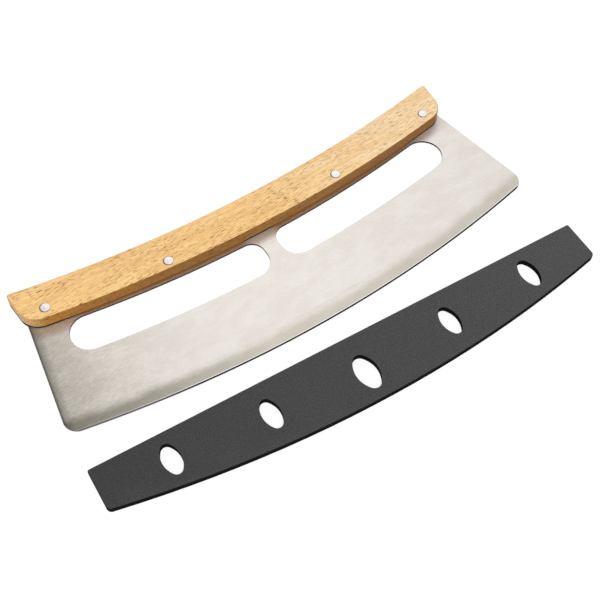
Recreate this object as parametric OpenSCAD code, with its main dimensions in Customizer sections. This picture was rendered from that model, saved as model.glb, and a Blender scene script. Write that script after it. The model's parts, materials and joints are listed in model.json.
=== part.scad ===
// Rocking pizza knife with a slip-on blade guard.
// The knife lies flat, cutting edge towards -Y, handle towards +Y, wooden face up (+Z).
// The guard is shown taken off, beyond the cutting edge, with its mouth facing the blade
// and slightly askew, as it was put down.
// Lengths are in millimetres and angles in degrees.

/* [Blade] */
// Length across the two bottom corners, before they are rounded
blade_len = 359; // [320:1:390]
// Thickness of the steel
blade_t = 1.5; // [1.2:0.1:2.5]
// Radius of the rocking cutting edge
edge_r = 861; // [700:1:1100]
// Lean of each end of the blade towards the handle
end_taper = 9.7; // [4:0.1:12]
// Radius of the two bottom corners
corner_r = 10; // [4:0.5:14]
// Width of the ground bevel along the cutting edge
bevel_w = 11; // [6:0.5:16]
// Steel left where the bevel ends, just above the edge
bevel_t = 0.4; // [0.3:0.05:0.8]
// Width of the fine honed strip at the very edge
hone_w = 0.8; // [0.4:0.1:1.5]
// Thickness of the cutting edge itself
edge_t = 0.12; // [0.08:0.02:0.24]

/* [Finger slots] */
// Height of the lower side of the slots above the cutting edge, at the middle
slot_y = 52.4; // [49:0.1:58]
// Width of each slot, edge side to handle side
slot_w = 26.9; // [22:0.1:27.4]
// Radius of the slots' middle line
slot_arc_r = 850.7; // [780:0.1:950]
// Half the width of the steel web between the slots
web_half = 5.7; // [4:0.1:10]
// Steel left between a slot's far end and the end of the blade, measured at its bottom corner
slot_end_w = 32.5; // [29.5:0.5:54.5]
// Radius of the slot corner beside the web, cutting edge side
slot_inner_low_r = 13; // [8:0.5:13]
// Radius of the slot corner beside the web, handle side
slot_inner_high_r = 9.5; // [6:0.5:10]

/* [Handle] */
// Height of the handle's lower side above the cutting edge, at the middle
handle_y = 82.3; // [81:0.1:88]
// Width of the handle
handle_w = 26.8; // [24:0.1:34]
// Radius of the handle's lower side
handle_arc_r = 951.5; // [860:0.5:1100]
// How far a top corner of the handle stays in from the blade's bottom corner
handle_inset = 11.3; // [7.5:0.1:15.5]
// Outward lean of the handle's ends
handle_lean = 4; // [0:0.5:8]
// Radius of the handle's lower corners
handle_low_r = 15; // [8:0.5:18]
// Radius of the handle's top corners
handle_top_r = 1.5; // [1.3:0.1:4]
// Thickness of the wooden scale
scale_t = 10.3; // [8:0.1:13]
// Rounding of the scale's front edges
scale_round = 1.1; // [0.5:0.1:1.2]

/* [Rivets] */
// Distance from the middle to the inner rivets
rivet_inner_x = 66.7; // [50:0.1:90]
// Distance from a top corner of the handle to the outer rivet
rivet_end_inset = 17.2; // [14:0.1:40]
// Height of the inner rivets above the handle's lower side
rivet_inner_rise = 5.7; // [5:0.1:13]
// Height of the outer rivets above the handle's lower side
rivet_outer_rise = 7.6; // [6:0.1:13]
// Diameter of the flush head in the wood
rivet_head_d = 6.3; // [5.6:0.1:8]
// Thickness of the flush head
rivet_head_t = 2.5; // [1.5:0.1:4]
// Outer diameter of the hollow shank
rivet_shank_d = 4.6; // [4:0.1:5.2]
// Diameter of the back half's pin, which is pressed into the shank
rivet_pin_d = 3; // [2.4:0.1:3.4]
// Length of the pin inside the shank
rivet_pin_len = 6; // [4:0.1:7]
// Diameter of the low domed head on the back of the blade
rivet_back_d = 8.4; // [7:0.1:10]
// Clearance round a shank, and between a head and its seat
rivet_gap = 0.05; // [0.03:0.01:0.15]

/* [Guard] */
// Overall thickness of the guard
guard_t = 4.8; // [4.6:0.1:6.5]
// Height of the guard at its middle, mouth to bottom
guard_depth = 48; // [42:0.1:49]
// Clearance between the blade and each face of the pocket
pocket_gap = 0.35; // [0.2:0.05:0.5]
// Clearance between the blade's corners and the ends of the pocket
pocket_end_gap = 0.8; // [0.7:0.1:2]
// Clearance between the cutting edge and the pocket's floor when seated
seat_gap = 0.6; // [0.4:0.1:1.5]
// Thickness of the guard's end walls
guard_end_wall = 1.2; // [1:0.1:3]
// Thickness of the guard's floor, under the cutting edge
guard_floor = 2.2; // [1.5:0.1:4]
// Radius of the guard's lower corners
guard_low_r = 3.5; // [2:0.5:8]
// Radius of the guard's upper corners
guard_high_r = 1.2; // [0.8:0.1:3]
// Rounding of the guard's outer edges
guard_round = 0.4; // [0.3:0.1:0.7]
// Depth of the lead-in at the guard's mouth
lead_depth = 1.6; // [0.8:0.1:3]
// Widening of the pocket at the mouth, on each side
lead_flare = 0.3; // [0.1:0.05:0.4]

/* [Guard taken off] */
// Turn of the guard where it lies
guard_turn = 2.94; // [0.5:0.01:5]
// Gap between the cutting edge and the middle of the guard's mouth
guard_off_gap = 18.1; // [12:0.1:60]
// How far to the left the middle of the mouth lies
guard_off_left = 0.8; // [0:0.1:2]

/* [Guard windows] */
// Distance between neighbouring windows
window_pitch = 66.6; // [55:0.1:72]
// Number of windows on each side of the middle one
window_pairs = 2; // [1:1:2]
// Width of the side windows
window_w = 12.5; // [8:0.1:16]
// Height of the side windows
window_h = 21.9; // [18:0.1:24]
// Width of the middle window
window_mid_w = 15.6; // [10:0.1:20]
// Height of the middle window
window_mid_h = 26; // [20:0.1:30]
// How far the middle window lies below the guard's half height
window_mid_drop = 3.5; // [0:0.1:5]
// End radius of a window as a share of its half width
window_end_share = 0.62; // [0.5:0.01:0.8]

/* [Hidden] */
RIVETS = ["rivet_left_end", "rivet_left_middle", "rivet_right_middle", "rivet_right_end"];
RIVET_BACKS = ["rivet_back_left_end", "rivet_back_left_middle",
               "rivet_back_right_middle", "rivet_back_right_end"];

// Sides of a full circle: the long arcs, the small rounds, and the rivets
arc_fn = 720;
round_fn = 96;
rivet_fn = 64;
// Overshoot of a cutter past the face it cuts
over = 1;
// How far a rounding stands out past being tangent: it then crosses the faces it joins at
// a slight angle, and leaves no slivers where it would only touch them
ease = 0.02;
// Reach of a cutter that runs on past both ends of a straight edge
far = 400;
// Reach of the block round a corner, as a multiple of the distance to its sharp tip
tip_reach = 1.1;

// Lengths that follow the blade's length, measured from the middle
handle_half = blade_len / 2 - handle_inset;
slot_reach = blade_len / 2 - slot_end_w;
rivet_outer_x = handle_half - rivet_end_inset;

// Centres of the long arcs, on the knife's middle line
edge_c = [0, edge_r];
handle_c = [0, handle_y + handle_arc_r];
handle_inner_r = handle_arc_r - handle_w;
slot_c = [0, slot_y + slot_w / 2 + slot_arc_r];
slot_low_r = slot_arc_r + slot_w / 2;
slot_high_r = slot_arc_r - slot_w / 2;

// Outward directions of the right-hand ends of the blade and of the handle
blade_n = [cos(end_taper), sin(end_taper)];
handle_n = [cos(handle_lean), -sin(handle_lean)];

// Bottom corner of the blade before rounding, and top corner of the handle before rounding
blade_tip = [blade_len / 2, arc_y(edge_c, edge_r, blade_len / 2)];
handle_tip = [handle_half, arc_y(handle_c, handle_inner_r, handle_half)];
blade_d = blade_n * blade_tip;
handle_d = handle_n * handle_tip;

// Centres of the rounded corners
blade_corner = meet(edge_c, edge_r - corner_r, blade_n, blade_d - corner_r);
handle_low = meet(handle_c, handle_arc_r - handle_low_r, handle_n, handle_d - handle_low_r);
handle_top = meet(handle_c, handle_inner_r + handle_top_r, handle_n, handle_d - handle_top_r);

// The guard's own frame has its origin in the middle of the mouth. Its bottom arc
// has the cutting edge's centre when the guard is on the blade.
guard_arc_r = edge_r + seat_gap + guard_floor;
guard_c = [0, guard_arc_r - guard_depth];
guard_half = blade_corner[0] + corner_r + pocket_end_gap + guard_end_wall;
guard_low = [guard_half - guard_low_r,
             arc_y(guard_c, guard_arc_r - guard_low_r, guard_half - guard_low_r)];
guard_high = [guard_half - guard_high_r, -guard_high_r];
pocket_half = guard_half - guard_end_wall;
pocket_t = blade_t + 2 * pocket_gap;
pocket_arc_r = guard_arc_r - guard_floor;

// Middle of the mouth with the guard on the blade and taken off. One turn about a
// far upright axis takes the guard from one place to the other.
guard_on = [0, guard_depth - guard_floor - seat_gap];
guard_off = [-guard_off_left, -guard_off_gap];
guard_axis = (guard_on + guard_off) / 2
             - [guard_on[1] - guard_off[1], guard_off[0] - guard_on[0]] / (2 * tan(guard_turn / 2));

// Share of the handle's width that the steel's own outline reaches up behind the wood
tang_share = 0.65;

// Faces of the steel and of the wood, measured from the blade's middle plane
steel_z = blade_t / 2;
wood_z = steel_z + scale_t;

// The row frame: z = 0 is the table, and x = y = 0 is the middle of the footprint,
// which the guard's two ends, its bottom and the handle's top corners bound
table_z = guard_t / 2;
footprint_left = taken_off([-guard_low[0], guard_low[1]])[0] - guard_low_r;
footprint_right = max(taken_off(guard_high)[0] + guard_high_r, blade_corner[0] + corner_r);
footprint_front = taken_off(guard_c)[1] - guard_arc_r;
footprint_back = handle_top[1] + handle_top_r;
footprint_c = [(footprint_left + footprint_right) / 2, (footprint_front + footprint_back) / 2];

// The back heads reach down to the table, as the guard's underside does. Share of a head's
// radius that is flat, and of its height that is upright rim
rivet_back_t = table_z - steel_z;
rivet_flat_share = 0.5;
rivet_rim_share = 0.35;

// Height of the lower side of a circle at a given x
function arc_y(c, r, x) = c[1] - sqrt(r * r - x * x);

// Lower meeting point of a circle and the line of points p with n * p = d
function meet(c, r, n, d) =
    let (m = n * c - d, along = [n[1], -n[0]])
    c - m * n + sqrt(r * r - m * m) * along * sign(-along[1]);

// Where a point of the guard's own frame lies with the guard taken off
function taken_off(p) =
    guard_off + [p[0] * cos(guard_turn) + p[1] * sin(guard_turn),
                 p[1] * cos(guard_turn) - p[0] * sin(guard_turn)];

// Point of a circle that looks away from, or towards, another circle's centre
function away(p, r, c) = p + r * (p - c) / norm(p - c);
function towards(p, r, c) = p - r * (p - c) / norm(p - c);

// Direction of a vector, as an angle
function heading(v) = atan2(v[1], v[0]);

// Place of rivet i, counted from the left
function rivet_x(i) = (i < 2 ? -1 : 1) * (i == 0 || i == 3 ? rivet_outer_x : rivet_inner_x);
function rivet_rise(i) = i == 0 || i == 3 ? rivet_outer_rise : rivet_inner_rise;
function rivet_at(i) = [rivet_x(i), arc_y(handle_c, handle_arc_r, rivet_x(i)) + rivet_rise(i)];

// What lies outside a rounded corner with its centre at c, between its tangent points
module corner_waste(c, r, t1, t2) {
    u = t1 - c;
    v = t2 - c;
    tip = c + tip_reach * (u + v) * r * r / (r * r + u * v);
    difference() {
        polygon([c, t1, tip, t2]);
        translate(c) circle(r + ease, $fn = round_fn);
    }
}

// Both hands of a right-hand shape
module both_sides() {
    children();
    mirror([1, 0, 0]) children();
}

// Section of what a rounding takes off the upper edge of a plate that ends at x = 0, y = 0
module edge_waste(r) {
    translate([ease - r, ease - r])
        difference() {
            square(r + over);
            circle(r, $fn = round_fn);
        }
}

// What a rounding takes off the upper rim of a round plate
module round_rim(c, rim_r, z, r) {
    translate([c[0], c[1], 0])
        rotate_extrude($fn = arc_fn)
            translate([rim_r, z]) edge_waste(r);
}

// What a rounding takes off the upper rim of a round opening
module round_opening(c, rim_r, z, r) {
    translate([c[0], c[1], 0])
        rotate_extrude($fn = arc_fn)
            translate([rim_r, z]) mirror([1, 0]) edge_waste(r);
}

// What a rounding takes off a straight upper edge that faces the given angle,
// at distance d from the origin
module round_side(angle, d, z, r) {
    rotate(angle)
        translate([d, 0, z])
            rotate([90, 0, 0])
                linear_extrude(2 * far, center = true) edge_waste(r);
}

// What a rounding takes off the upper edge of a rounded corner, between two angles. It
// stands out by half as much as the corner, so that the faces don't all meet in one point
module round_corner(c, corner_r, from, to, z, r) {
    translate([c[0], c[1], 0])
        rotate([0, 0, from])
            rotate_extrude(angle = to - from, $fn = round_fn)
                translate([corner_r + ease / 2, z]) edge_waste(r);
}

// Outline of the handle, shared by the wood and by the steel tang under it
module handle_plan() {
    difference() {
        intersection() {
            difference() {
                translate(handle_c) circle(handle_arc_r, $fn = arc_fn);
                translate(handle_c) circle(handle_inner_r, $fn = arc_fn);
            }
            polygon([for (s = [[-1, 0], [1, 0], [1, 1], [-1, 1]])
                     let (y = s[1] == 0 ? 0 : handle_tip[1] + over)
                     [s[0] * (handle_tip[0] + (y - handle_tip[1]) * tan(handle_lean)), y]]);
        }
        both_sides() {
            corner_waste(handle_low, handle_low_r, handle_low + handle_low_r * handle_n,
                         away(handle_low, handle_low_r, handle_c));
            corner_waste(handle_top, handle_top_r, handle_top + handle_top_r * handle_n,
                         towards(handle_top, handle_top_r, handle_c));
        }
    }
}

// Outline of the steel below the handle, up to a line hidden under the wood and down past
// the cutting edge, where the ground disc ends it
module rocker_plan() {
    hidden_y = handle_y + tang_share * handle_w;
    low_y = -over;
    difference() {
        polygon([for (s = [[-1, low_y], [1, low_y], [1, hidden_y], [-1, hidden_y]])
                 [s[0] * (blade_tip[0] - (s[1] - blade_tip[1]) * tan(end_taper)), s[1]]]);
        both_sides()
            corner_waste(blade_corner, corner_r, blade_corner + corner_r * blade_n,
                         away(blade_corner, corner_r, edge_c));
    }
}

// Outline of the right-hand finger slot: a curved band with a round far end
module slot_plan() {
    end_x = slot_reach - slot_w / 2;
    end_c = [end_x, arc_y(slot_c, slot_arc_r, end_x)];
    low_x = web_half + slot_inner_low_r;
    low_c = [low_x, arc_y(slot_c, slot_low_r - slot_inner_low_r, low_x)];
    high_x = web_half + slot_inner_high_r;
    high_c = [high_x, arc_y(slot_c, slot_high_r + slot_inner_high_r, high_x)];
    ray = tip_reach * (end_c - slot_c);
    difference() {
        intersection() {
            difference() {
                translate(slot_c) circle(slot_low_r, $fn = arc_fn);
                translate(slot_c) circle(slot_high_r, $fn = arc_fn);
            }
            polygon([[web_half, slot_c[1]], slot_c, slot_c + ray, [web_half, slot_c[1] + ray[1]]]);
        }
        corner_waste(low_c, slot_inner_low_r, low_c - [slot_inner_low_r, 0],
                     away(low_c, slot_inner_low_r, slot_c));
        corner_waste(high_c, slot_inner_high_r, high_c - [slot_inner_high_r, 0],
                     towards(high_c, slot_inner_high_r, slot_c));
    }
    translate(end_c) circle(slot_w / 2 + ease, $fn = round_fn);
}

// Steel disc with the ground bevel and the honed strip turned on its rim
module ground_disc() {
    translate(edge_c)
        rotate_extrude($fn = arc_fn)
            polygon([[0, -steel_z], [edge_r - bevel_w, -steel_z], [edge_r - hone_w, -bevel_t / 2],
                     [edge_r, -edge_t / 2], [edge_r, edge_t / 2], [edge_r - hone_w, bevel_t / 2],
                     [edge_r - bevel_w, steel_z], [0, steel_z]]);
}

// Places what follows in the row frame
module in_row() {
    translate([-footprint_c[0], -footprint_c[1], table_z]) children();
}

// Turns the guard from the blade to where it lies taken off
module off_blade() {
    translate(guard_axis)
        rotate(-guard_turn)
            translate(guard_on - guard_axis) children();
}

module blade() {
    color([0.87, 0.86, 0.84])
        in_row()
            difference() {
                intersection() {
                    ground_disc();
                    translate([0, 0, -steel_z])
                        linear_extrude(blade_t)
                            difference() {
                                union() {
                                    rocker_plan();
                                    handle_plan();
                                }
                                both_sides() slot_plan();
                            }
                }
                for (i = [0 : 3])
                    translate(rivet_at(i))
                        cylinder(d = rivet_shank_d + 2 * rivet_gap, h = blade_t + 2 * over,
                                 center = true, $fn = rivet_fn);
            }
}

// Wooden scale: the handle's outline with its front edge rounded all the way round
module scale_blank() {
    low_t = away(handle_low, handle_low_r, handle_c) - handle_low;
    top_t = towards(handle_top, handle_top_r, handle_c) - handle_top;
    difference() {
        translate([0, 0, steel_z]) linear_extrude(scale_t) handle_plan();
        round_rim(handle_c, handle_arc_r, wood_z, scale_round);
        round_opening(handle_c, handle_inner_r, wood_z, scale_round);
        both_sides() {
            round_side(-handle_lean, handle_d, wood_z, scale_round);
            round_corner(handle_low, handle_low_r, heading(low_t), -handle_lean,
                         wood_z, scale_round);
            round_corner(handle_top, handle_top_r, -handle_lean, heading(top_t),
                         wood_z, scale_round);
        }
    }
}

module handle_scale() {
    color([0.93, 0.77, 0.57])
        in_row()
            difference() {
                scale_blank();
                for (i = [0 : 3])
                    translate(rivet_at(i)) {
                        cylinder(d = rivet_shank_d + 2 * rivet_gap, h = wood_z + over, $fn = rivet_fn);
                        translate([0, 0, wood_z - rivet_head_t - rivet_gap])
                            cylinder(d = rivet_head_d + 2 * rivet_gap, h = rivet_head_t + over,
                                     $fn = rivet_fn);
                    }
            }
}

// Front half of a rivet: flush head on a hollow shank
module rivet_front(i) {
    shank_len = wood_z + steel_z;
    color([0.93, 0.93, 0.94])
        in_row()
            translate([rivet_at(i)[0], rivet_at(i)[1], -steel_z])
                difference() {
                    union() {
                        cylinder(d = rivet_shank_d, h = shank_len, $fn = rivet_fn);
                        translate([0, 0, shank_len - rivet_head_t])
                            cylinder(d = rivet_head_d, h = rivet_head_t, $fn = rivet_fn);
                    }
                    translate([0, 0, -over])
                        cylinder(d = rivet_pin_d + 2 * rivet_gap, h = rivet_pin_len + rivet_gap + over,
                                 $fn = rivet_fn);
                }
}

// Back half of a rivet: low domed head with a small flat, and the pin that goes up the shank
module rivet_back(i) {
    head_r = rivet_back_d / 2;
    flat_r = rivet_flat_share * head_r;
    rim = rivet_rim_share * rivet_back_t;
    dome_h = rivet_back_t - rim;
    dome_r = (pow(head_r - flat_r, 2) + dome_h * dome_h) / (2 * dome_h);
    color([0.87, 0.87, 0.88])
        in_row()
            translate([rivet_at(i)[0], rivet_at(i)[1], -steel_z])
                union() {
                    cylinder(d = rivet_pin_d, h = rivet_pin_len, $fn = rivet_fn);
                    intersection() {
                        translate([0, 0, -rivet_back_t])
                            cylinder(d = rivet_back_d, h = rivet_back_t, $fn = rivet_fn);
                        rotate_extrude($fn = rivet_fn)
                            intersection() {
                                union() {
                                    translate([0, -rivet_back_t]) square([flat_r, rivet_back_t]);
                                    translate([flat_r, dome_r - rivet_back_t])
                                        circle(dome_r, $fn = round_fn);
                                }
                                translate([0, -rivet_back_t]) square([head_r, rivet_back_t]);
                            }
                    }
                }
}

// Outline of the guard: straight mouth, upright ends, bottom arc round the cutting edge
module guard_plan() {
    difference() {
        intersection() {
            translate(guard_c) circle(guard_arc_r, $fn = arc_fn);
            translate([-guard_half, -guard_depth - over]) square([2 * guard_half, guard_depth + over]);
        }
        both_sides() {
            corner_waste(guard_low, guard_low_r, guard_low + [guard_low_r, 0],
                         away(guard_low, guard_low_r, guard_c));
            corner_waste(guard_high, guard_high_r, guard_high + [guard_high_r, 0],
                         guard_high + [0, guard_high_r]);
        }
    }
}

// What the roundings take off the guard's upper edges
module guard_rounding() {
    face_z = guard_t / 2;
    low_t = away(guard_low, guard_low_r, guard_c) - guard_low;
    round_rim(guard_c, guard_arc_r, face_z, guard_round);
    round_side(90, 0, face_z, guard_round);
    both_sides() {
        round_side(0, guard_half, face_z, guard_round);
        round_corner(guard_low, guard_low_r, heading(low_t), 0, face_z, guard_round);
        round_corner(guard_high, guard_high_r, 0, 90, face_z, guard_round);
    }
}

// Pocket for the blade, open along the mouth, with a flared lead-in
module guard_pocket() {
    translate([0, 0, -pocket_t / 2])
        linear_extrude(pocket_t)
            intersection() {
                translate(guard_c) circle(pocket_arc_r, $fn = arc_fn);
                translate([-pocket_half, -guard_depth]) square([2 * pocket_half, guard_depth + over]);
            }
    translate([-pocket_half, 0, 0])
        rotate([90, 0, 90])
            linear_extrude(2 * pocket_half)
                polygon([[-lead_depth, pocket_t / 2], [over, pocket_t / 2 + lead_flare_at(over)],
                         [over, -pocket_t / 2 - lead_flare_at(over)], [-lead_depth, -pocket_t / 2]]);
}

// Half widening of the lead-in at a height above the mouth
function lead_flare_at(y) = lead_flare * (y + lead_depth) / lead_depth;

// Oval of four arcs that meet smoothly
module oval(w, h) {
    a = w / 2;
    b = h / 2;
    end_r = window_end_share * a;
    rise = b - end_r;
    side_r = (a * a + rise * rise - end_r * end_r) / (2 * (a - end_r));
    side_x = side_r - a;
    join_y = rise + end_r * rise / (side_r - end_r);
    intersection() {
        translate([side_x, 0]) circle(side_r, $fn = arc_fn);
        translate([-side_x, 0]) circle(side_r, $fn = arc_fn);
        square([w, 2 * join_y], center = true);
    }
    for (s = [-1, 1]) translate([0, s * rise]) circle(end_r + ease, $fn = round_fn);
}

// Middle of the guard's height at a given x, where a window is centred
function guard_middle_y(x) = arc_y(guard_c, guard_arc_r, x) / 2;

module guard_windows() {
    translate([0, guard_middle_y(0) - window_mid_drop]) oval(window_mid_w, window_mid_h);
    for (k = [1 : window_pairs])
        both_sides()
            translate([k * window_pitch, guard_middle_y(k * window_pitch)]) oval(window_w, window_h);
}

module guard() {
    color([0.28, 0.28, 0.29])
        in_row()
            off_blade()
                difference() {
                    linear_extrude(guard_t, center = true) guard_plan();
                    guard_rounding();
                    mirror([0, 0, 1]) guard_rounding();
                    guard_pocket();
                    linear_extrude(guard_t + 2 * over, center = true) guard_windows();
                }
}

blade();
handle_scale();
for (i = [0 : 3]) {
    rivet_front(i);
    rivet_back(i);
}
guard();
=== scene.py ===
"""Looks of the rocking pizza knife: ground steel blade, oiled wood handle, rivets, moulded guard.

It is laid out as an add-on and run as a script. Lengths are in metres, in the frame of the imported
part: +X along the knife, +Y from the cutting edge to the handle, +Z out of the wood.
"""

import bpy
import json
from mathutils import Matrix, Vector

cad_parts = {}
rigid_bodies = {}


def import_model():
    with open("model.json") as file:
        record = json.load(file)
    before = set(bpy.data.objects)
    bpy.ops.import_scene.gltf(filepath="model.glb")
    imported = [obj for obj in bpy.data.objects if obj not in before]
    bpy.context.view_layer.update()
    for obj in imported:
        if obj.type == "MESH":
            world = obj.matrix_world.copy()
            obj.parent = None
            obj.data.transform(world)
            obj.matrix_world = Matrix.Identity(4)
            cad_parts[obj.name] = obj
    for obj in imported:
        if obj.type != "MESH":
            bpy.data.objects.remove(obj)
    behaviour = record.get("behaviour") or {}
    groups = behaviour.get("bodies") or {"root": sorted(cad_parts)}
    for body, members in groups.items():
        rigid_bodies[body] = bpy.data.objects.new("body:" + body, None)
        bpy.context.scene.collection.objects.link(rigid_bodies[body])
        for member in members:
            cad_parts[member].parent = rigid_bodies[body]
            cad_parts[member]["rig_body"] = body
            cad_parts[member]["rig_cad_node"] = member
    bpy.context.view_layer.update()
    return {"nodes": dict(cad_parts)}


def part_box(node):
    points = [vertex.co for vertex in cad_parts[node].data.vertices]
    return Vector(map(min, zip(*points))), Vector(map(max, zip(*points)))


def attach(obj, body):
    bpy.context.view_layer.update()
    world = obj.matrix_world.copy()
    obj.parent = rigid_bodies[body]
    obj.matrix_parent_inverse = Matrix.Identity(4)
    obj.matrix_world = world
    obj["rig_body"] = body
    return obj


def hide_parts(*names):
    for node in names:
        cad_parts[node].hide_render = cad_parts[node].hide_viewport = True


bl_info = {
    "name": "Rocking Pizza Knife",
    "version": (1, 0, 0),
    "blender": (4, 5, 0),
    "location": "View3D > Sidebar > Knife",
    "description": "Finishes the blade, handle, rivets and guard of a rocking pizza knife",
    "category": "Object",
}

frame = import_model()

import json
from math import radians

import bpy
from bpy.props import FloatProperty, FloatVectorProperty, PointerProperty
from mathutils import Matrix, Vector

MM = 0.001

# Cutting edge: its arc's centre and radius, and the radius at which the bevel starts
EDGE_CENTRE = Vector((1.504, 832.486, 0.0)) * MM
EDGE_R = 861 * MM
BEVEL_R = 850 * MM
# Lower outline of the wood: its arc's centre and radius
HANDLE_CENTRE = Vector((1.504, 1005.286, 0.0)) * MM
HANDLE_R = 951.5 * MM
# Straight left end of the blade: its inward direction, and its distance from the origin
LEFT_END_INWARD = Vector((0.9857, -0.1685, 0.0))
LEFT_END_AWAY = 173.83 * MM
# Shoulder of each end below the wood: its distance from the middle line and its height, and by how
# much the end runs on over it
SHOULDER_X = 165.4 * MM
SHOULDER_Y = 71.15 * MM
SHOULDER_RISE = 2.3 * MM
# Angle from which an edge counts as sharp, and how near to a face's height counts as on it
SHARP = radians(60)
ON_FACE = 0.1 * MM
RIVETS = ("left_end", "left_middle", "right_middle", "right_end")


# ---- small helpers ----


def linear(code):
    """Turns an sRGB hex code, such as "E8E2DC", into linear red, green and blue."""
    channels = [int(code[i:i + 2], 16) / 255 for i in (0, 2, 4)]
    return [c / 12.92 if c <= 0.04045 else ((c + 0.055) / 1.055) ** 2.4 for c in channels]


def socket_of(sockets, key):
    """A node's socket by its name, or by its number among those that its options leave in use."""
    return sockets[key] if isinstance(key, str) else [s for s in sockets if s.enabled][key]


def feed(tree, node, values):
    """Gives a node its inputs, each of them another node's output or a plain value."""
    for key, value in values.items():
        socket = socket_of(node.inputs, key)
        if isinstance(value, bpy.types.NodeSocket):
            tree.links.new(value, socket)
        else:
            socket.default_value = (*value, 1) if socket.type == "RGBA" else value


def add_node(tree, kind, *values, named=None, output=0, **options):
    """Adds a node with its options and its inputs, in their order or named. Returns an output."""
    node = tree.nodes.new("ShaderNode" + kind)
    for option, choice in options.items():
        setattr(node, option, choice)
    feed(tree, node, {**dict(enumerate(values)), **(named or {})})
    return socket_of(node.outputs, output)


def new_material(name):
    """A material with a bare Principled shader. Returns it, its node tree and its shader."""
    material = bpy.data.materials.new(name)
    material.use_nodes = True
    return material, material.node_tree, material.node_tree.nodes["Principled BSDF"]


def select_only(piece):
    """Makes one object the only selected and the active one."""
    bpy.ops.object.select_all(action="DESELECT")
    piece.hide_set(False)
    piece.select_set(True)
    bpy.context.view_layer.objects.active = piece


def copy_of(node, name):
    """A piece of its own with a CAD node's shape, its loose triangles merged into flat faces."""
    select_only(frame["nodes"][node])
    bpy.ops.object.duplicate()
    piece = bpy.context.object
    piece.name = name
    bpy.ops.object.parent_clear(type="CLEAR_KEEP_TRANSFORM")
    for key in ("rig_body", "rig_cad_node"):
        if key in piece:
            del piece[key]
    if piece.data.has_custom_normals:
        bpy.ops.mesh.customdata_custom_splitnormals_clear()
    bpy.ops.object.mode_set(mode="EDIT")
    bpy.ops.mesh.select_all(action="SELECT")
    bpy.ops.mesh.remove_doubles(threshold=1e-7)
    bpy.ops.mesh.dissolve_limited(angle_limit=radians(0.2))
    bpy.ops.object.mode_set(mode="OBJECT")
    return piece


def round_edges(piece, chosen, width, segments=2):
    """Rounds the edges for which chosen(middle, angle) holds, by a Bevel modifier, applied."""
    mesh = piece.data
    weights = mesh.attributes.new("bevel_weight_edge", "FLOAT", "EDGE")
    faces_of = {}
    for face in mesh.polygons:
        for key in face.edge_keys:
            faces_of.setdefault(key, []).append(face.normal)
    for edge in mesh.edges:
        normals = faces_of.get(tuple(sorted(edge.vertices)), [])
        if len(normals) == 2:
            middle = (mesh.vertices[edge.vertices[0]].co + mesh.vertices[edge.vertices[1]].co) / 2
            if chosen(middle, normals[0].angle(normals[1], 0.0)):
                weights.data[edge.index].value = 1.0
    select_only(piece)
    bevel = piece.modifiers.new("edge rounding", "BEVEL")
    bevel.limit_method = "WEIGHT"
    bevel.width = width
    bevel.segments = segments
    bpy.ops.object.modifier_apply(modifier=bevel.name)
    mesh.attributes.remove(mesh.attributes["bevel_weight_edge"])


def cut_level(piece, height):
    """Cuts a row of edges all round a piece, at one height."""
    select_only(piece)
    bpy.ops.object.mode_set(mode="EDIT")
    bpy.ops.mesh.select_all(action="SELECT")
    bpy.ops.mesh.bisect(plane_co=(0, 0, height), plane_no=(0, 0, 1))
    bpy.ops.object.mode_set(mode="OBJECT")


def slide_points(piece, chosen, move):
    """Moves the points for which chosen(place) holds."""
    select_only(piece)
    bpy.ops.object.mode_set(mode="EDIT")
    bpy.ops.mesh.select_mode(type="VERT")
    bpy.ops.mesh.select_all(action="DESELECT")
    bpy.ops.object.mode_set(mode="OBJECT")
    for point in piece.data.vertices:
        point.select = chosen(point.co)
    bpy.ops.object.mode_set(mode="EDIT")
    bpy.ops.transform.translate(value=move)
    bpy.ops.object.mode_set(mode="OBJECT")


def finish_piece(piece, material, body, slot, *nodes, smooth=30):
    """Shades a piece, gives it its material and body, and hides what it stands for. Its slot is not
    used.
    """
    select_only(piece)
    bpy.ops.object.shade_smooth_by_angle(angle=radians(smooth))
    piece.data.materials.clear()
    piece.data.materials.append(material)
    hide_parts(*nodes)
    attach(piece, body)


# ---- measures and patterns that several finishes share ----


def object_place(tree):
    """Where the shaded point lies."""
    return add_node(tree, "TexCoord", output="Object")


def along_knife(tree):
    """How far to the right of the origin the shaded point lies."""
    return add_node(tree, "SeparateXYZ", object_place(tree), output="X")


def flat_distance(tree, centre):
    """How far the shaded point lies from an upright axis."""
    offset = add_node(tree, "VectorMath", object_place(tree), centre, operation="SUBTRACT")
    flat = add_node(tree, "VectorMath", offset, (1, 1, 0), operation="MULTIPLY")
    return add_node(tree, "VectorMath", flat, operation="LENGTH")


def left_end_distance(tree):
    """How far the shaded point lies from the blade's left end."""
    inward = add_node(tree, "VectorMath", object_place(tree), LEFT_END_INWARD,
                      operation="DOT_PRODUCT")
    return add_node(tree, "Math", inward, LEFT_END_AWAY, operation="ADD")


def over_slots(tree):
    """1 along the two finger slots, and 0 at the web and at the two ends."""
    outward = add_node(tree, "Math", along_knife(tree), operation="ABSOLUTE")
    past_web = add_node(tree, "MapRange", outward, 8 * MM, 16 * MM, 0.0, 1.0)
    short_of_end = add_node(tree, "MapRange", outward, 125 * MM, 145 * MM, 1.0, 0.0)
    return add_node(tree, "Math", past_web, short_of_end, operation="MULTIPLY")


def mottling(tree, x, y, z, detail, place=None, output=0):
    """An uneven pattern with features of about these lengths, in millimetres."""
    if place is None:
        place = object_place(tree)
    scale = [1 / (size * MM) for size in (x, y, z)]
    spread = add_node(tree, "Mapping", place, named={"Scale": scale})
    return add_node(tree, "TexNoise", spread, named={"Scale": 1.0, "Detail": detail},
                    output=output)


# ---- settings ----


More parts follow.
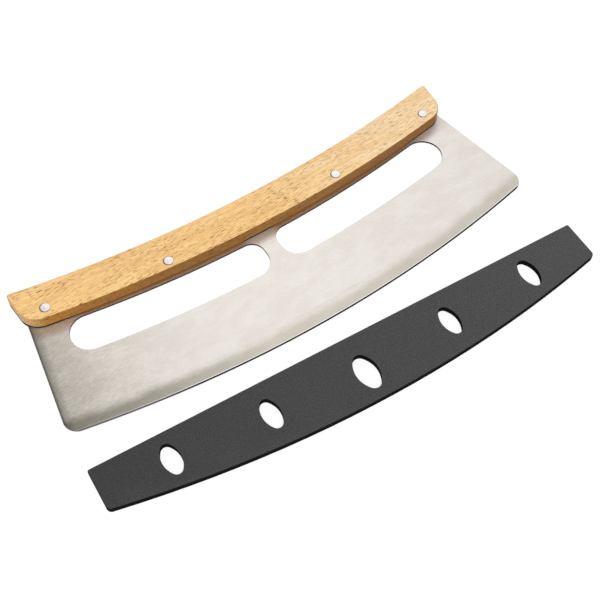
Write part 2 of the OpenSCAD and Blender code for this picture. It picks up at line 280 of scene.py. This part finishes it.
class KnifeBladeSettings(bpy.types.PropertyGroup):
    """Finish of the steel."""

    face_colour: FloatVectorProperty(
        name="Face", description="Colour of the brushed face",
        subtype="COLOR", default=linear("EBE5DF"))
    bevel_colour: FloatVectorProperty(
        name="Bevel", description="Colour of the ground bevel",
        subtype="COLOR", default=linear("D2CDC0"))
    # The bright line at the edge is a painted highlight.
    edge_highlight_colour: FloatVectorProperty(
        name="Highlight", description="Colour of the bright line at the edge",
        subtype="COLOR", default=linear("FCFBFA"))
    # The dark line on the honed strip is painted shade at the very edge.
    edge_shade_colour: FloatVectorProperty(
        name="Edge", description="Colour of the honed strip",
        subtype="COLOR", default=linear("272624"))
    cut_colour: FloatVectorProperty(
        name="Cut walls", description="Colour of the laser-cut walls",
        subtype="COLOR", default=linear("302F2D"))
    roughness: FloatProperty(
        name="Roughness", description="Roughness of the brushed face",
        default=0.28, min=0.1, max=0.8)
    edge_round: FloatProperty(
        name="Edge rounding", description="Rounding of the cut edges",
        unit="LENGTH", default=0.15 * MM, min=0.05 * MM, max=0.3 * MM)


class KnifeHandleSettings(bpy.types.PropertyGroup):
    """Finish of the wood."""

    wood_colour: FloatVectorProperty(
        name="Wood", description="Main colour of the wood",
        subtype="COLOR", default=linear("F3C987"))
    pale_colour: FloatVectorProperty(
        name="Sapwood", description="Colour of the pale sapwood",
        subtype="COLOR", default=linear("F1D5AB"))
    dark_colour: FloatVectorProperty(
        name="Dark bands", description="Colour of the darker bands",
        subtype="COLOR", default=linear("EBBE7D"))
    pore_colour: FloatVectorProperty(
        name="Pores", description="Colour of the open pores",
        subtype="COLOR", default=linear("8A4612"))
    line_colour: FloatVectorProperty(
        name="Joint lines", description="Colour of the dark lines round rivets and over steel",
        subtype="COLOR", default=linear("331B0B"))
    seam_colour: FloatVectorProperty(
        name="Seam", description="Colour of the seam over the finger slots",
        subtype="COLOR", default=linear("80592F"))
    seam_height: FloatProperty(
        name="Seam height", description="Height of the seam under the wood",
        unit="LENGTH", default=1.4 * MM, min=0.3 * MM, max=3 * MM)
    # The side tint is painted shade on the wood's side walls.
    side_shade_tint: FloatVectorProperty(
        name="Side tint", description="Tint of the shaded sides",
        subtype="COLOR", default=linear("A38850"))
    roughness: FloatProperty(
        name="Roughness", description="Roughness of the oiled wood",
        default=0.5, min=0.2, max=0.9)


class KnifeRivetSettings(bpy.types.PropertyGroup):
    """Finish of the rivets."""

    colour: FloatVectorProperty(
        name="Metal", description="Colour of the rivets",
        subtype="COLOR", default=linear("FEFCFB"))
    rim_round: FloatProperty(
        name="Rim rounding", description="Rounding of the flush heads' rims",
        unit="LENGTH", default=0.12 * MM, min=0.05 * MM, max=0.5 * MM)


class KnifeGuardSettings(bpy.types.PropertyGroup):
    """Finish of the guard."""

    face_colour: FloatVectorProperty(
        name="Face", description="Colour of the textured face",
        subtype="COLOR", default=linear("3B3B3B"))
    # The walls are darker partly for their bare finish and partly as painted shade.
    wall_shade_colour: FloatVectorProperty(
        name="Walls", description="Colour of the smooth edge walls",
        subtype="COLOR", default=linear("1F1F20"))
    roughness: FloatProperty(
        name="Roughness", description="Roughness of the textured face",
        default=0.6, min=0.2, max=0.9)
    rim_round: FloatProperty(
        name="Window rims", description="Rounding of the window rims",
        unit="LENGTH", default=0.4 * MM, min=0.05 * MM, max=0.5 * MM)


class KnifeStageSettings(bpy.types.PropertyGroup):
    """Floor and camera."""

    floor_size: FloatProperty(
        name="Floor", description="Side of the floor",
        unit="LENGTH", default=6.0, min=1.0, max=20.0)
    lens: FloatProperty(
        name="Lens", description="Focal length of the camera, in millimetres",
        default=66.81, min=20, max=200)


# ---- materials ----


def brushed_steel(settings):
    """Stainless steel sheet, brushed along the blade: satin, with soft streaks, and duller where
    its bevel was ground."""
    material, tree, shader = new_material("stainless_steel_brushed")
    radius = flat_distance(tree, EDGE_CENTRE)
    inward = left_end_distance(tree)
    inner = add_node(tree, "MapRange", inward, 0.0, 90 * MM, 0.0, 1.0)
    # The bevel's upper limit is soft: it wanders, and fades over 7 mm. Painted shade darkens
    # the bevel over the left third of the blade
    wander = add_node(tree, "Math", mottling(tree, 9, 5, 5, 4.0), 5 * MM, radius,
                      operation="MULTIPLY_ADD")
    bevel = add_node(tree, "MapRange", wander, BEVEL_R + 1 * MM, BEVEL_R + 8 * MM,
                     interpolation_type="SMOOTHSTEP")
    bevel_left_shade = add_node(tree, "MapRange", inward, 50 * MM, 135 * MM, 0.66, 1.04)
    ground = add_node(tree, "VectorMath", settings.bevel_colour, bevel_left_shade, operation="MULTIPLY")
    colour = add_node(tree, "Mix", bevel, settings.face_colour, ground, data_type="RGBA")
    # Clouding of the finish, in patches of 5 to 10 mm, warmer and stronger towards the left end
    cloud = add_node(tree, "MapRange", mottling(tree, 16, 8, 8, 6.0), 0.36, 0.64,
                     interpolation_type="SMOOTHSTEP")
    dark = add_node(tree, "Mix", inner, (0.91, 0.905, 0.845), (0.965, 0.96, 0.95),
                    data_type="RGBA")
    light = add_node(tree, "Mix", inner, (1.02, 1.015, 0.955), (1.025, 1.025, 1.03),
                     data_type="RGBA")
    clouds = add_node(tree, "Mix", cloud, dark, light, data_type="RGBA")
    # Brush lines are under 0.1 mm: drawn 0.5 mm wide and 20 mm long, to show at all
    lines = mottling(tree, 20, 0.5, 2, 6.0)
    streaks = add_node(tree, "MapRange", lines, 0.3, 0.7, 0.975, 1.025)
    # Short scratches, which show over the left 90 mm and are faint elsewhere
    grain = mottling(tree, 3.5, 0.9, 1, 3.0)
    strong = add_node(tree, "MapRange", grain, 0.3, 0.7, 0.86, 1.14)
    faint = add_node(tree, "MapRange", grain, 0.3, 0.7, 0.98, 1.02)
    scratches = add_node(tree, "Mix", inner, strong, faint)
    # Painted shade darkens the left end: slightly over its last 45 mm, and more over the last 7 and
    # 2 mm
    left_shade_45 = add_node(tree, "MapRange", inner, 0.0, 0.5, 0.79, 1.0)
    left_shade_7 = add_node(tree, "MapRange", inward, 0.0, 7 * MM, 0.5, 1.0)
    left_shade_2 = add_node(tree, "MapRange", inward, 0.0, 2 * MM, 0.35, 1.0)
    for factor in (clouds, streaks, scratches, left_shade_45, left_shade_7, left_shade_2):
        colour = add_node(tree, "VectorMath", colour, factor, operation="MULTIPLY")
    # A painted highlight along the edge, then a painted dark line of shade on the honed strip at
    # the very edge, both weaker at the left
    edge_highlight = add_node(tree, "MapRange", radius, EDGE_R - 1.7 * MM, EDGE_R - 1.5 * MM,
                    interpolation_type="SMOOTHSTEP")
    edge_highlight_share = add_node(tree, "MapRange", inner, 0.0, 1.0, 0.5, 1.0)
    shining = add_node(tree, "VectorMath", settings.edge_highlight_colour, edge_highlight_share, operation="MULTIPLY")
    colour = add_node(tree, "Mix", edge_highlight, colour, shining, data_type="RGBA")
    shadowed = add_node(tree, "MapRange", radius, EDGE_R - 1.15 * MM, EDGE_R - 1.05 * MM,
                     interpolation_type="SMOOTHSTEP")
    edge_shade_share = add_node(tree, "MapRange", inner, 0.0, 1.0, 0.55, 1.0)
    shadowed = add_node(tree, "Math", shadowed, edge_shade_share, operation="MULTIPLY")
    colour = add_node(tree, "Mix", shadowed, colour, settings.edge_shade_colour, data_type="RGBA")
    # The 9 mm under the wood are up to twice as rough, except beside the slots
    rough = add_node(tree, "MapRange", lines, 0.3, 0.7, settings.roughness - 0.02,
                     settings.roughness + 0.02)
    near = add_node(tree, "MapRange", flat_distance(tree, HANDLE_CENTRE),
                    HANDLE_R, HANDLE_R + 9 * MM, 1.0, 0.0)
    beside = add_node(tree, "Math", 1.0, over_slots(tree), operation="SUBTRACT")
    corner = add_node(tree, "Math", near, beside, operation="MULTIPLY")
    rough = add_node(tree, "Math", rough, corner, rough, operation="MULTIPLY_ADD")
    # The sheet is not quite flat: waves of 0.05 mm, and under them the brush lines
    waves = add_node(tree, "Bump", named={"Strength": 1.0, "Distance": 0.06 * MM,
                                          "Height": mottling(tree, 16, 8, 9, 3.0)})
    brushed = add_node(tree, "Bump", named={"Strength": 0.12, "Distance": 0.02 * MM,
                                            "Height": lines, "Normal": waves})
    # The bevel has no crisp upper line: its first 5 mm turn gradually into its slope
    start = add_node(tree, "MapRange", radius, BEVEL_R, BEVEL_R + 5 * MM, 0.0, 1.0)
    rise = add_node(tree, "Math", 2.0, start, operation="SUBTRACT")
    roll = add_node(tree, "Math", start, rise, operation="MULTIPLY")
    rolled = add_node(tree, "Bump", named={"Strength": 1.0, "Distance": 0.135 * MM,
                                           "Height": roll, "Normal": brushed})
    feed(tree, shader, {"Base Color": colour, "Metallic": 1.0, "Roughness": rough,
                        "Normal": rolled})
    return material


def cut_steel(settings):
    """Laser-cut walls of the steel sheet: dull and dark grey, with upright striations."""
    material, tree, shader = new_material("stainless_steel_cut")
    striation = add_node(tree, "MapRange", mottling(tree, 0.3, 0.3, 8, 2.0), 0.3, 0.7, 0.8, 1.2)
    colour = add_node(tree, "VectorMath", settings.cut_colour, striation, operation="MULTIPLY")
    feed(tree, shader, {"Base Color": colour, "Metallic": 1.0, "Roughness": 0.55})
    return material


def oiled_wood(settings, name, side_shade_tint=None):
    """Light rubberwood, planed and oiled: soft bands and short open pores along the grain."""
    material, tree, shader = new_material(name)
    place = object_place(tree)
    along = along_knife(tree)
    # The grain wanders by a millimetre or two over the length of the handle
    drift = add_node(tree, "VectorMath", mottling(tree, 70, 25, 25, 1.0, place, "Color"),
                     (0, 5 * MM, 0), place, operation="MULTIPLY_ADD")
    # Pale sapwood towards the right end
    sap = add_node(tree, "MapRange", mottling(tree, 80, 22, 30, 2.0), 0.1, 0.55,
                   interpolation_type="SMOOTHSTEP")
    sap_share = add_node(tree, "MapRange", along, 0.0, 110 * MM, 0.1, 1.0)
    sap = add_node(tree, "Math", sap, sap_share, operation="MULTIPLY")
    colour = add_node(tree, "Mix", sap, settings.wood_colour, settings.pale_colour,
                      data_type="RGBA")
    # Growth bands, 3 to 6 mm wide, weaker towards the right end
    band = add_node(tree, "MapRange", mottling(tree, 60, 4, 4, 3.0, drift), 0.38, 0.64,
                    interpolation_type="SMOOTHSTEP")
    band_share = add_node(tree, "MapRange", along, 20 * MM, 110 * MM, 1.0, 0.45)
    band = add_node(tree, "Math", band, band_share, operation="MULTIPLY")
    colour = add_node(tree, "Mix", band, colour, settings.dark_colour, data_type="RGBA")
    # Fibres, 0.4 mm wide
    fibre = add_node(tree, "MapRange", mottling(tree, 14, 0.7, 0.7, 5.0, drift), 0.3, 0.7,
                     0.9, 1.11)
    colour = add_node(tree, "VectorMath", colour, fibre, operation="MULTIPLY")
    # Pores are 0.1 mm wide: drawn 0.3 mm wide and 2 to 4 mm long to show, denser in some bands
    # and weaker towards the right end
    pores = add_node(tree, "MapRange", mottling(tree, 5.0, 0.38, 0.5, 1.5, drift), 0.565, 0.635,
                     interpolation_type="SMOOTHSTEP")
    dense = add_node(tree, "MapRange", mottling(tree, 25, 5, 5, 2.0, drift), 0.34, 0.6, 0.35, 1.0)
    pore_share = add_node(tree, "MapRange", along, 20 * MM, 110 * MM, 1.0, 0.7)
    for share in (dense, pore_share):
        pores = add_node(tree, "Math", pores, share, operation="MULTIPLY")
    colour = add_node(tree, "Mix", pores, colour, settings.pore_colour, data_type="RGBA")
    # Dark ring round each rivet head, its centre set a little off so that it is thicker on one
    # side: partly a dark joint line, partly a painted shadow of the head's rim on that side
    nearest = 1.0
    for rivet in RIVETS:
        low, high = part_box(f"rivet_{rivet}")
        shade_ring_centre = low.lerp(high, 0.5) + Vector((-0.35, -0.1, 0)) * MM
        nearest = add_node(tree, "Math", nearest, flat_distance(tree, shade_ring_centre), operation="MINIMUM")
    rivet_ring_shade = add_node(tree, "MapRange", nearest, 3.35 * MM, 3.65 * MM, 0.95, 0.0)
    colour = add_node(tree, "Mix", rivet_ring_shade, colour, settings.line_colour, data_type="RGBA")
    # The side walls take a darker tint: painted shade, for sides lit less than the front
    if side_shade_tint:
        # Painted light and shade on the sides: lighter towards the left end, darker and redder
        # towards the right one, and as pale as the front over the left end's last 14 mm
        lighter = add_node(tree, "MapRange", along, -150 * MM, -50 * MM, 1.4, 1.0)
        redder = add_node(tree, "MapRange", along, 50 * MM, 120 * MM, 0.0, 1.0)
        red_tint = add_node(tree, "Mix", redder, (1.0, 1.0, 1.0), (0.88, 0.74, 0.52),
                            data_type="RGBA")
        side = colour
        for tint in (side_shade_tint, lighter, red_tint):
            side = add_node(tree, "VectorMath", side, tint, operation="MULTIPLY")
        left_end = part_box("handle_scale")[0].x
        left_end_light = add_node(tree, "MapRange", along, left_end + 4 * MM, left_end + 14 * MM,
                          0.75, 0.0)
        colour = add_node(tree, "Mix", left_end_light, side, colour, data_type="RGBA")
    sunk = add_node(tree, "Bump", invert=True,
                    named={"Strength": 0.35, "Distance": 0.06 * MM, "Height": pores})
    feed(tree, shader, {"Base Color": colour, "Roughness": settings.roughness,
                        "Specular IOR Level": 0.3, "Normal": sunk})
    return material


def joint_and_shade_seam(settings):
    """Dark seam between the wood and the steel: a dark joint line with painted shade of the crease
    where they meet, brown over the finger slots, where the steel is cut away below it, and nearly
    black over the web and at the two ends."""
    material, tree, shader = new_material("seam_joint_shade")
    colour = add_node(tree, "Mix", over_slots(tree), settings.line_colour, settings.seam_colour,
                      data_type="RGBA")
    feed(tree, shader, {"Base Color": colour, "Roughness": 0.9, "Specular IOR Level": 0.0})
    return material


def ground_aluminium(settings):
    """Aluminium rivet, ground flush with the wood: almost white, with a soft gloss."""
    material, tree, shader = new_material("aluminium_ground")
    # The fine cross scratches of the grinding spread the light widely
    rough = add_node(tree, "MapRange", mottling(tree, 0.5, 0.5, 0.5, 3.0), 0.3, 0.7, 0.38, 0.48)
    feed(tree, shader, {"Base Color": settings.colour, "Metallic": 1.0, "Roughness": rough})
    return material


def moulded_face(settings):
    """Black polypropylene with an etched mould texture: matt, with fine pebbles."""
    material, tree, shader = new_material("polypropylene_textured")
    # Etched pebbles of 0.2 mm, drawn 0.6 mm across to show
    pebbles = mottling(tree, 0.7, 0.7, 0.7, 2.0)
    shade = add_node(tree, "MapRange", pebbles, 0.3, 0.7, 0.5, 1.5)
    # Painted light: the face grows a shade lighter from the left end to the right one
    painted_light_ramp = add_node(tree, "MapRange", along_knife(tree), -180 * MM, 180 * MM, 0.72, 1.33)
    colour = settings.face_colour
    for factor in (shade, painted_light_ramp):
        colour = add_node(tree, "VectorMath", colour, factor, operation="MULTIPLY")
    etched = add_node(tree, "Bump", named={"Strength": 0.6, "Distance": 0.08 * MM,
                                           "Height": pebbles})
    feed(tree, shader, {"Base Color": colour, "Roughness": settings.roughness,
                        "Specular IOR Level": 0.35, "Normal": etched})
    return material


def moulded_wall(settings):
    """The same plastic where the mould is bare: smooth edge walls, darker and without sheen,
    partly for their bare finish and partly as painted shade.
    """
    material, tree, shader = new_material("polypropylene_smooth_shaded")
    feed(tree, shader, {"Base Color": settings.wall_shade_colour, "Roughness": 0.5,
                        "Specular IOR Level": 0.0})
    return material


# ---- pieces ----


class KNIFE_OT_blade(bpy.types.Operator):
    """Finish the steel blade, with its cut edges just broken."""

    bl_idname = "pizza_knife.blade"
    bl_label = "Blade"
    bl_options = {"REGISTER", "UNDO"}

    def execute(self, context):
        settings = context.scene.knife_blade
        piece = copy_of("blade", "blade_steel")

        def is_cut_edge(middle, angle):
            return angle > SHARP and (middle - EDGE_CENTRE).xy.length < BEVEL_R

        round_edges(piece, is_cut_edge, settings.edge_round)
        # The two straight ends run on until they meet the wood, without a shoulder
        lean = LEFT_END_INWARD.y / LEFT_END_INWARD.x
        for side in (-1, 1):
            def is_shoulder(place, side=side):
                return (abs(place.y - SHOULDER_Y) < 2 * ON_FACE
                        and side * (place.x - EDGE_CENTRE.x) > SHOULDER_X)

            slide_points(piece, is_shoulder, Vector((side * lean, 1.0, 0.0)) * SHOULDER_RISE)
        finish_piece(piece, brushed_steel(settings), "knife", "steel", "blade", smooth=2)
        piece.data.materials.append(cut_steel(settings))
        for face in piece.data.polygons:
            # The honed strip's faces keep the face finish, whose painted shade gives the dark edge
            # line
            shadowed = (face.center - EDGE_CENTRE).xy.length > EDGE_R - 0.9 * MM
            flattest = 0.5 if shadowed else 0.97
            face.material_index = 0 if abs(face.normal.z) > flattest else 1
        return {"FINISHED"}


class KNIFE_OT_handle(bpy.types.Operator):
    """Finish the wooden scale, with a dark seam where it meets the steel."""

    bl_idname = "pizza_knife.handle"
    bl_label = "Handle"
    bl_options = {"REGISTER", "UNDO"}

    def execute(self, context):
        settings = context.scene.knife_handle
        piece = copy_of("handle_scale", "handle_wood")
        seam_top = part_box("handle_scale")[0].z + settings.seam_height
        cut_level(piece, seam_top)
        front = oiled_wood(settings, "rubberwood_oiled")
        finish_piece(piece, front, "knife", "wood", "handle_scale")
        tint = tuple(settings.side_shade_tint)
        piece.data.materials.append(oiled_wood(settings, "rubberwood_shaded_side", tint))
        piece.data.materials.append(joint_and_shade_seam(settings))
        for face in piece.data.polygons:
            side = 1 if face.center.z > seam_top else 2
            face.material_index = 0 if face.normal.z > 0.7 else side
        return {"FINISHED"}


class KNIFE_OT_rivets(bpy.types.Operator):
    """Finish the four rivets, front and back."""

    bl_idname = "pizza_knife.rivets"
    bl_label = "Rivets"
    bl_options = {"REGISTER", "UNDO"}

    def execute(self, context):
        settings = context.scene.knife_rivets
        metal = ground_aluminium(settings)
        for place in RIVETS:
            head = copy_of(f"rivet_{place}", f"rivet_head_{place}")
            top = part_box(f"rivet_{place}")[1].z

            def is_rim(middle, angle, top=top):
                return angle > SHARP and middle.z > top - ON_FACE

            round_edges(head, is_rim, settings.rim_round, 3)
            finish_piece(head, metal, "knife", "rivet_metal", f"rivet_{place}")
            back = copy_of(f"rivet_back_{place}", f"rivet_tail_{place}")
            finish_piece(back, metal, "knife", "rivet_metal", f"rivet_back_{place}")
        return {"FINISHED"}


class KNIFE_OT_guard(bpy.types.Operator):
    """Finish the moulded guard: textured faces, smooth walls and softened window rims."""

    bl_idname = "pizza_knife.guard"
    bl_label = "Guard"
    bl_options = {"REGISTER", "UNDO"}

    def execute(self, context):
        settings = context.scene.knife_guard
        piece = copy_of("guard", "guard_cover")
        low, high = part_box("guard")

        def is_outer(place):
            return place.z > high.z - ON_FACE or place.z < low.z + ON_FACE

        def is_window_rim(middle, angle):
            return is_outer(middle) and angle > SHARP

        round_edges(piece, is_window_rim, settings.rim_round, 3)
        finish_piece(piece, moulded_face(settings), "guard", "guard_plastic", "guard")
        piece.data.materials.append(moulded_wall(settings))
        for face in piece.data.polygons:
            textured = is_outer(face.center) and abs(face.normal.z) > 0.93
            face.material_index = 0 if textured else 1
        return {"FINISHED"}


class KNIFE_OT_stage(bpy.types.Operator):
    """Lay the white floor and set up the soft light and the camera."""

    bl_idname = "pizza_knife.stage"
    bl_label = "Stage"
    bl_options = {"REGISTER", "UNDO"}

    def execute(self, context):
        settings = context.scene.knife_stage
        scene = context.scene
        scene.view_settings.view_transform = "Standard"
        bpy.ops.object.select_all(action="DESELECT")
        bpy.ops.mesh.primitive_plane_add(size=settings.floor_size, location=(0, 0, -0.2 * MM))
        floor = context.object
        floor.name = "floor"
        floor.data.materials.append(self.floor_paper())
        self.light_room(scene)
        self.add_lamp()
        self.add_camera(scene, settings.lens)
        return {"FINISHED"}

    def floor_paper(self):
        """White paper sweep: it shows white, and keeps a soft shadow."""
        material, tree, shader = new_material("paper_white")
        shown = 0.0
        for ray in ("Is Camera Ray", "Is Glossy Ray", "Is Transmission Ray"):
            shown = add_node(tree, "Math", shown, add_node(tree, "LightPath", output=ray),
                             operation="MAXIMUM")
        glow = add_node(tree, "Math", shown, 0.8, operation="MULTIPLY")
        feed(tree, shader, {"Base Color": linear("8A8A8A"), "Roughness": 1.0,
                            "Specular IOR Level": 0.0, "Emission Color": linear("FFFFFF"),
                            "Emission Strength": glow})
        return material

    def light_room(self, scene):
        """White room with two soft grey screens, one to the left and one overhead."""
        world = bpy.data.worlds.new("white_room")
        scene.world = world
        world.use_nodes = True
        tree = world.node_tree
        way = add_node(tree, "TexCoord", output="Generated")
        x, y, z = (add_node(tree, "SeparateXYZ", way, output=axis) for axis in "XYZ")
        # Each screen is given by the directions between which it stands, with soft edges
        screens = []
        for edges in (((x, -0.51, -0.36), (x, 0.126, 0.032), (y, -0.1, 0.05), (y, 0.81, 0.69)),
                      ((y, -0.35, -0.23), (y, 0.336, 0.129))):
            screen = 1.0
            for edge in edges:
                edge = add_node(tree, "MapRange", *edge, interpolation_type="SMOOTHSTEP")
                screen = add_node(tree, "Math", screen, edge, operation="MULTIPLY")
            screens.append(screen)
        left, over = screens
        over = add_node(tree, "Math", over, 0.65, operation="MULTIPLY")
        either = add_node(tree, "Math", left, over, operation="MAXIMUM")
        high = add_node(tree, "MapRange", z, 0.25, 0.5, interpolation_type="SMOOTHSTEP")
        grey = add_node(tree, "Math", either, high, operation="MULTIPLY")
        # The room is a little dimmer at its right and at its front
        right = add_node(tree, "MapRange", x, 0.3, 0.6, 1.108, 0.89)
        front = add_node(tree, "MapRange", y, -0.5, -0.2, 0.82, 1.0)
        white = add_node(tree, "Math", right, front, operation="MULTIPLY")
        colour = add_node(tree, "Mix", grey, white, linear("918F8A"), data_type="RGBA")
        feed(tree, tree.nodes["Background"], {"Color": colour, "Strength": 1.0})

    def add_lamp(self):
        """One large soft box overhead."""
        bpy.ops.object.light_add(type="AREA", location=(-0.55, -1.2, 2.7))
        lamp = bpy.context.object
        lamp.name = "soft_box"
        lamp.data.shape = "SQUARE"
        lamp.data.size = 1.6
        lamp.data.energy = 33
        aim = -Vector(lamp.location).normalized()
        lamp.rotation_euler = aim.to_track_quat("-Z", "Y").to_euler()

    def add_camera(self, scene, lens):
        """The camera, at the place that was fitted to the picture."""
        right = Vector((0.83388635, -0.55186704, 0.00873649))
        down = Vector((-0.46183585, -0.70633936, -0.53646282))
        forward = Vector((0.30222707, 0.4433142, -0.84387874))
        place = Vector((-226.639, -329.2005, 618.764)) * MM
        bpy.ops.object.camera_add()
        camera = bpy.context.object
        camera.name = "camera"
        columns = Matrix((right, -down, -forward)).transposed()
        camera.matrix_world = Matrix.Translation(place) @ columns.to_4x4()
        camera.data.sensor_width = 36
        camera.data.sensor_fit = "HORIZONTAL"
        camera.data.lens = lens
        camera.data.clip_start = 0.01
        camera.data.clip_end = 50
        scene.camera = camera


class KNIFE_PT_panel(bpy.types.Panel):
    """Lists the pieces of the knife and their settings."""

    bl_idname = "KNIFE_PT_panel"
    bl_label = "Pizza Knife"
    bl_space_type = "VIEW_3D"
    bl_region_type = "UI"
    bl_category = "Knife"

    def draw(self, context):
        for operator, group in PANEL_ROWS:
            box = self.layout.box()
            box.operator(operator.bl_idname, text=operator.bl_label)
            settings = getattr(context.scene, group)
            for key in settings.__annotations__:
                box.prop(settings, key)


SETTINGS = {
    "knife_blade": KnifeBladeSettings,
    "knife_handle": KnifeHandleSettings,
    "knife_rivets": KnifeRivetSettings,
    "knife_guard": KnifeGuardSettings,
    "knife_stage": KnifeStageSettings,
}

OPERATORS = (KNIFE_OT_blade, KNIFE_OT_handle, KNIFE_OT_rivets, KNIFE_OT_guard, KNIFE_OT_stage)
PANEL_ROWS = tuple(zip(OPERATORS, SETTINGS))


def register():
    """Registers the settings, the operators and the panel."""
    for cls in (*SETTINGS.values(), *OPERATORS, KNIFE_PT_panel):
        bpy.utils.register_class(cls)
    for name, group in SETTINGS.items():
        setattr(bpy.types.Scene, name, PointerProperty(type=group))


def unregister():
    """Removes what register added."""
    for name in SETTINGS:
        delattr(bpy.types.Scene, name)
    for cls in reversed((*SETTINGS.values(), *OPERATORS, KNIFE_PT_panel)):
        bpy.utils.unregister_class(cls)


def main():
    """Builds every piece in order."""
    register()
    bpy.ops.pizza_knife.stage()
    bpy.ops.pizza_knife.blade()
    bpy.ops.pizza_knife.handle()
    bpy.ops.pizza_knife.rivets()
    bpy.ops.pizza_knife.guard()


if __name__ == "__main__":
    main()
